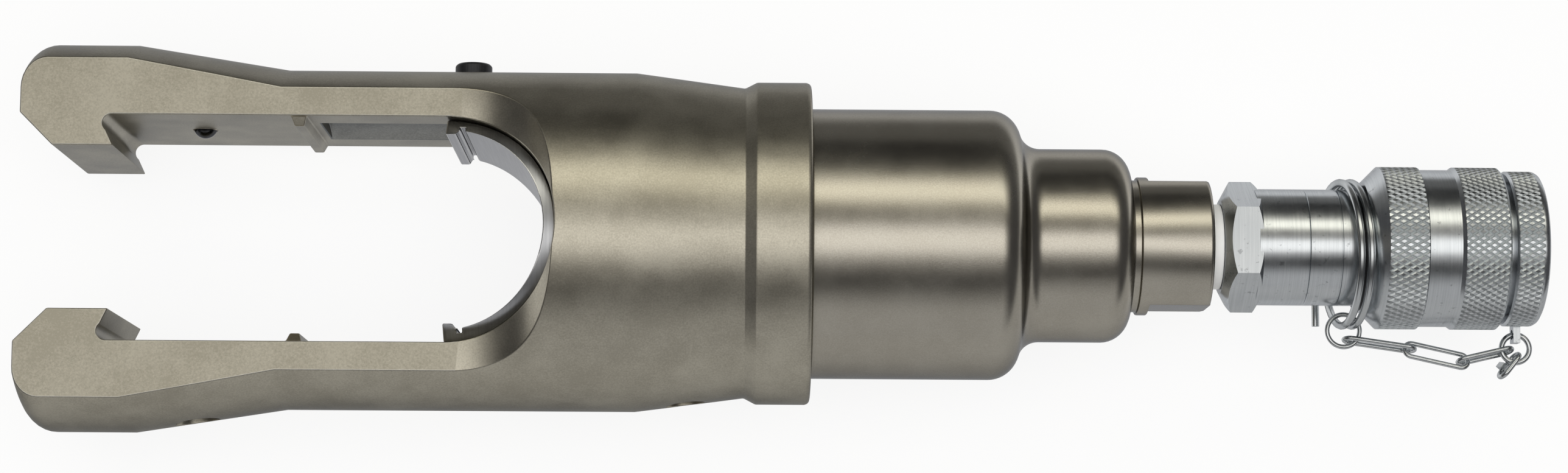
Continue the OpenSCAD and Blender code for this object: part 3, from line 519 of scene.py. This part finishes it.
CAP_R = 0.01785
CAP_BANDS = [(0.1653, 0.1708)]
bm = knurled([
    (0.1725, 0), (0.1667, 0), (0.1667, 0.0126), (0.1487, 0.0126), (0.1487, 0.01519), (0.1647, 0.01519),
    (0.1647, 0.01735), (0.1652, CAP_R), (0.1653, CAP_R), (0.1708, CAP_R), (0.1709, CAP_R),
    (0.17139, 0.01777), (0.17203, 0.01738), (0.17238, 0.01674), (0.1725, 0.01625),
], CAP_BANDS, CAP_R)
cap = add_object("dust_cap_knurled", bm, zinc, knurl_zinc, smooth_to=25)
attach(cap, "cap")
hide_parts("dust_cap")

# The lug for the chain is cut from the CAD cap and let into the knurled cap by LUG_OVERLAP
LUG_ROOT = -0.01787
LUG_OVERLAP = 0.0012
bm = bmesh.new()
bm.from_mesh(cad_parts["dust_cap"].data)
bmesh.ops.remove_doubles(bm, verts=bm.verts, dist=MERGE_WITHIN)
cut = bmesh.ops.bisect_plane(bm, geom=bm.verts[:] + bm.edges[:] + bm.faces[:], plane_co=(0, LUG_ROOT, 0),
                             plane_no=(0, 1, 0), clear_outer=True)
rim = [part for part in cut["geom_cut"] if isinstance(part, bmesh.types.BMEdge)]
root = bmesh.ops.edgeloop_fill(bm, edges=rim)["faces"]
pushed = bmesh.ops.extrude_face_region(bm, geom=root)["geom"]
inner = [part for part in pushed if isinstance(part, bmesh.types.BMVert)]
bmesh.ops.translate(bm, vec=(0, LUG_OVERLAP, 0), verts=inner)
bmesh.ops.delete(bm, geom=root, context="FACES_ONLY")
bmesh.ops.recalc_face_normals(bm, faces=bm.faces)
lug = add_object("cap_lug", bm, zinc)
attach(lug, "cap")


# The anchor ring and the chain: zinc-plated steel wire that keeps the cap on the tool. The ring is coiled
# in almost two turns with a straight tail and lies loosely round the coupler; the links are bent from
# wire and hang in each other.
wire_zinc = turned_metal("zinc_wire", (0.52, 0.54, 0.55, 1), (0.70, 0.72, 0.735, 1), 0.22,
                         pitch=700, relief=0.12)
WIRE_R = 0.0009
RING_X = 0.1243
RING_Y = -0.0015
RING_R = 0.0165
RING_TURNS = 1.8
RING_LEAN = 0.00205
RING_PITCH = 0.00226
TURN_STEPS = 48
TAIL_Y = (-0.0165, -0.0065)
TAIL_Z = 0.0224
route = [Vector((RING_X, y, TAIL_Z)) for y in TAIL_Y]
for step in range(int(TURN_STEPS * RING_TURNS) + 1):
    t = 2 * math.pi * step / TURN_STEPS
    route.append(Vector((RING_X + RING_LEAN * (1 - math.cos(t)) + RING_PITCH * step / TURN_STEPS,
                         RING_Y + RING_R * math.sin(t), AXIS_Z - RING_R * math.cos(t))))
curve = bpy.data.curves.new("anchor_wire", "CURVE")
curve.dimensions = "3D"
curve.bevel_depth = WIRE_R
curve.bevel_resolution = 3
curve.use_fill_caps = True
spline = curve.splines.new("POLY")
spline.points.add(len(route) - 1)
for point, at in zip(spline.points, route):
    point.co = (*at, 1)
curve.materials.append(wire_zinc)
anchor = bpy.data.objects.new("anchor_wire", curve)
scene.collection.objects.link(anchor)
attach(anchor, "tool")
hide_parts("anchor_ring")
dress(wire_zinc, "chain_link_1", "chain_link_2", "chain_link_3", "chain_link_4", "clip_loop", "crimp_clip",
      "cap_ring")
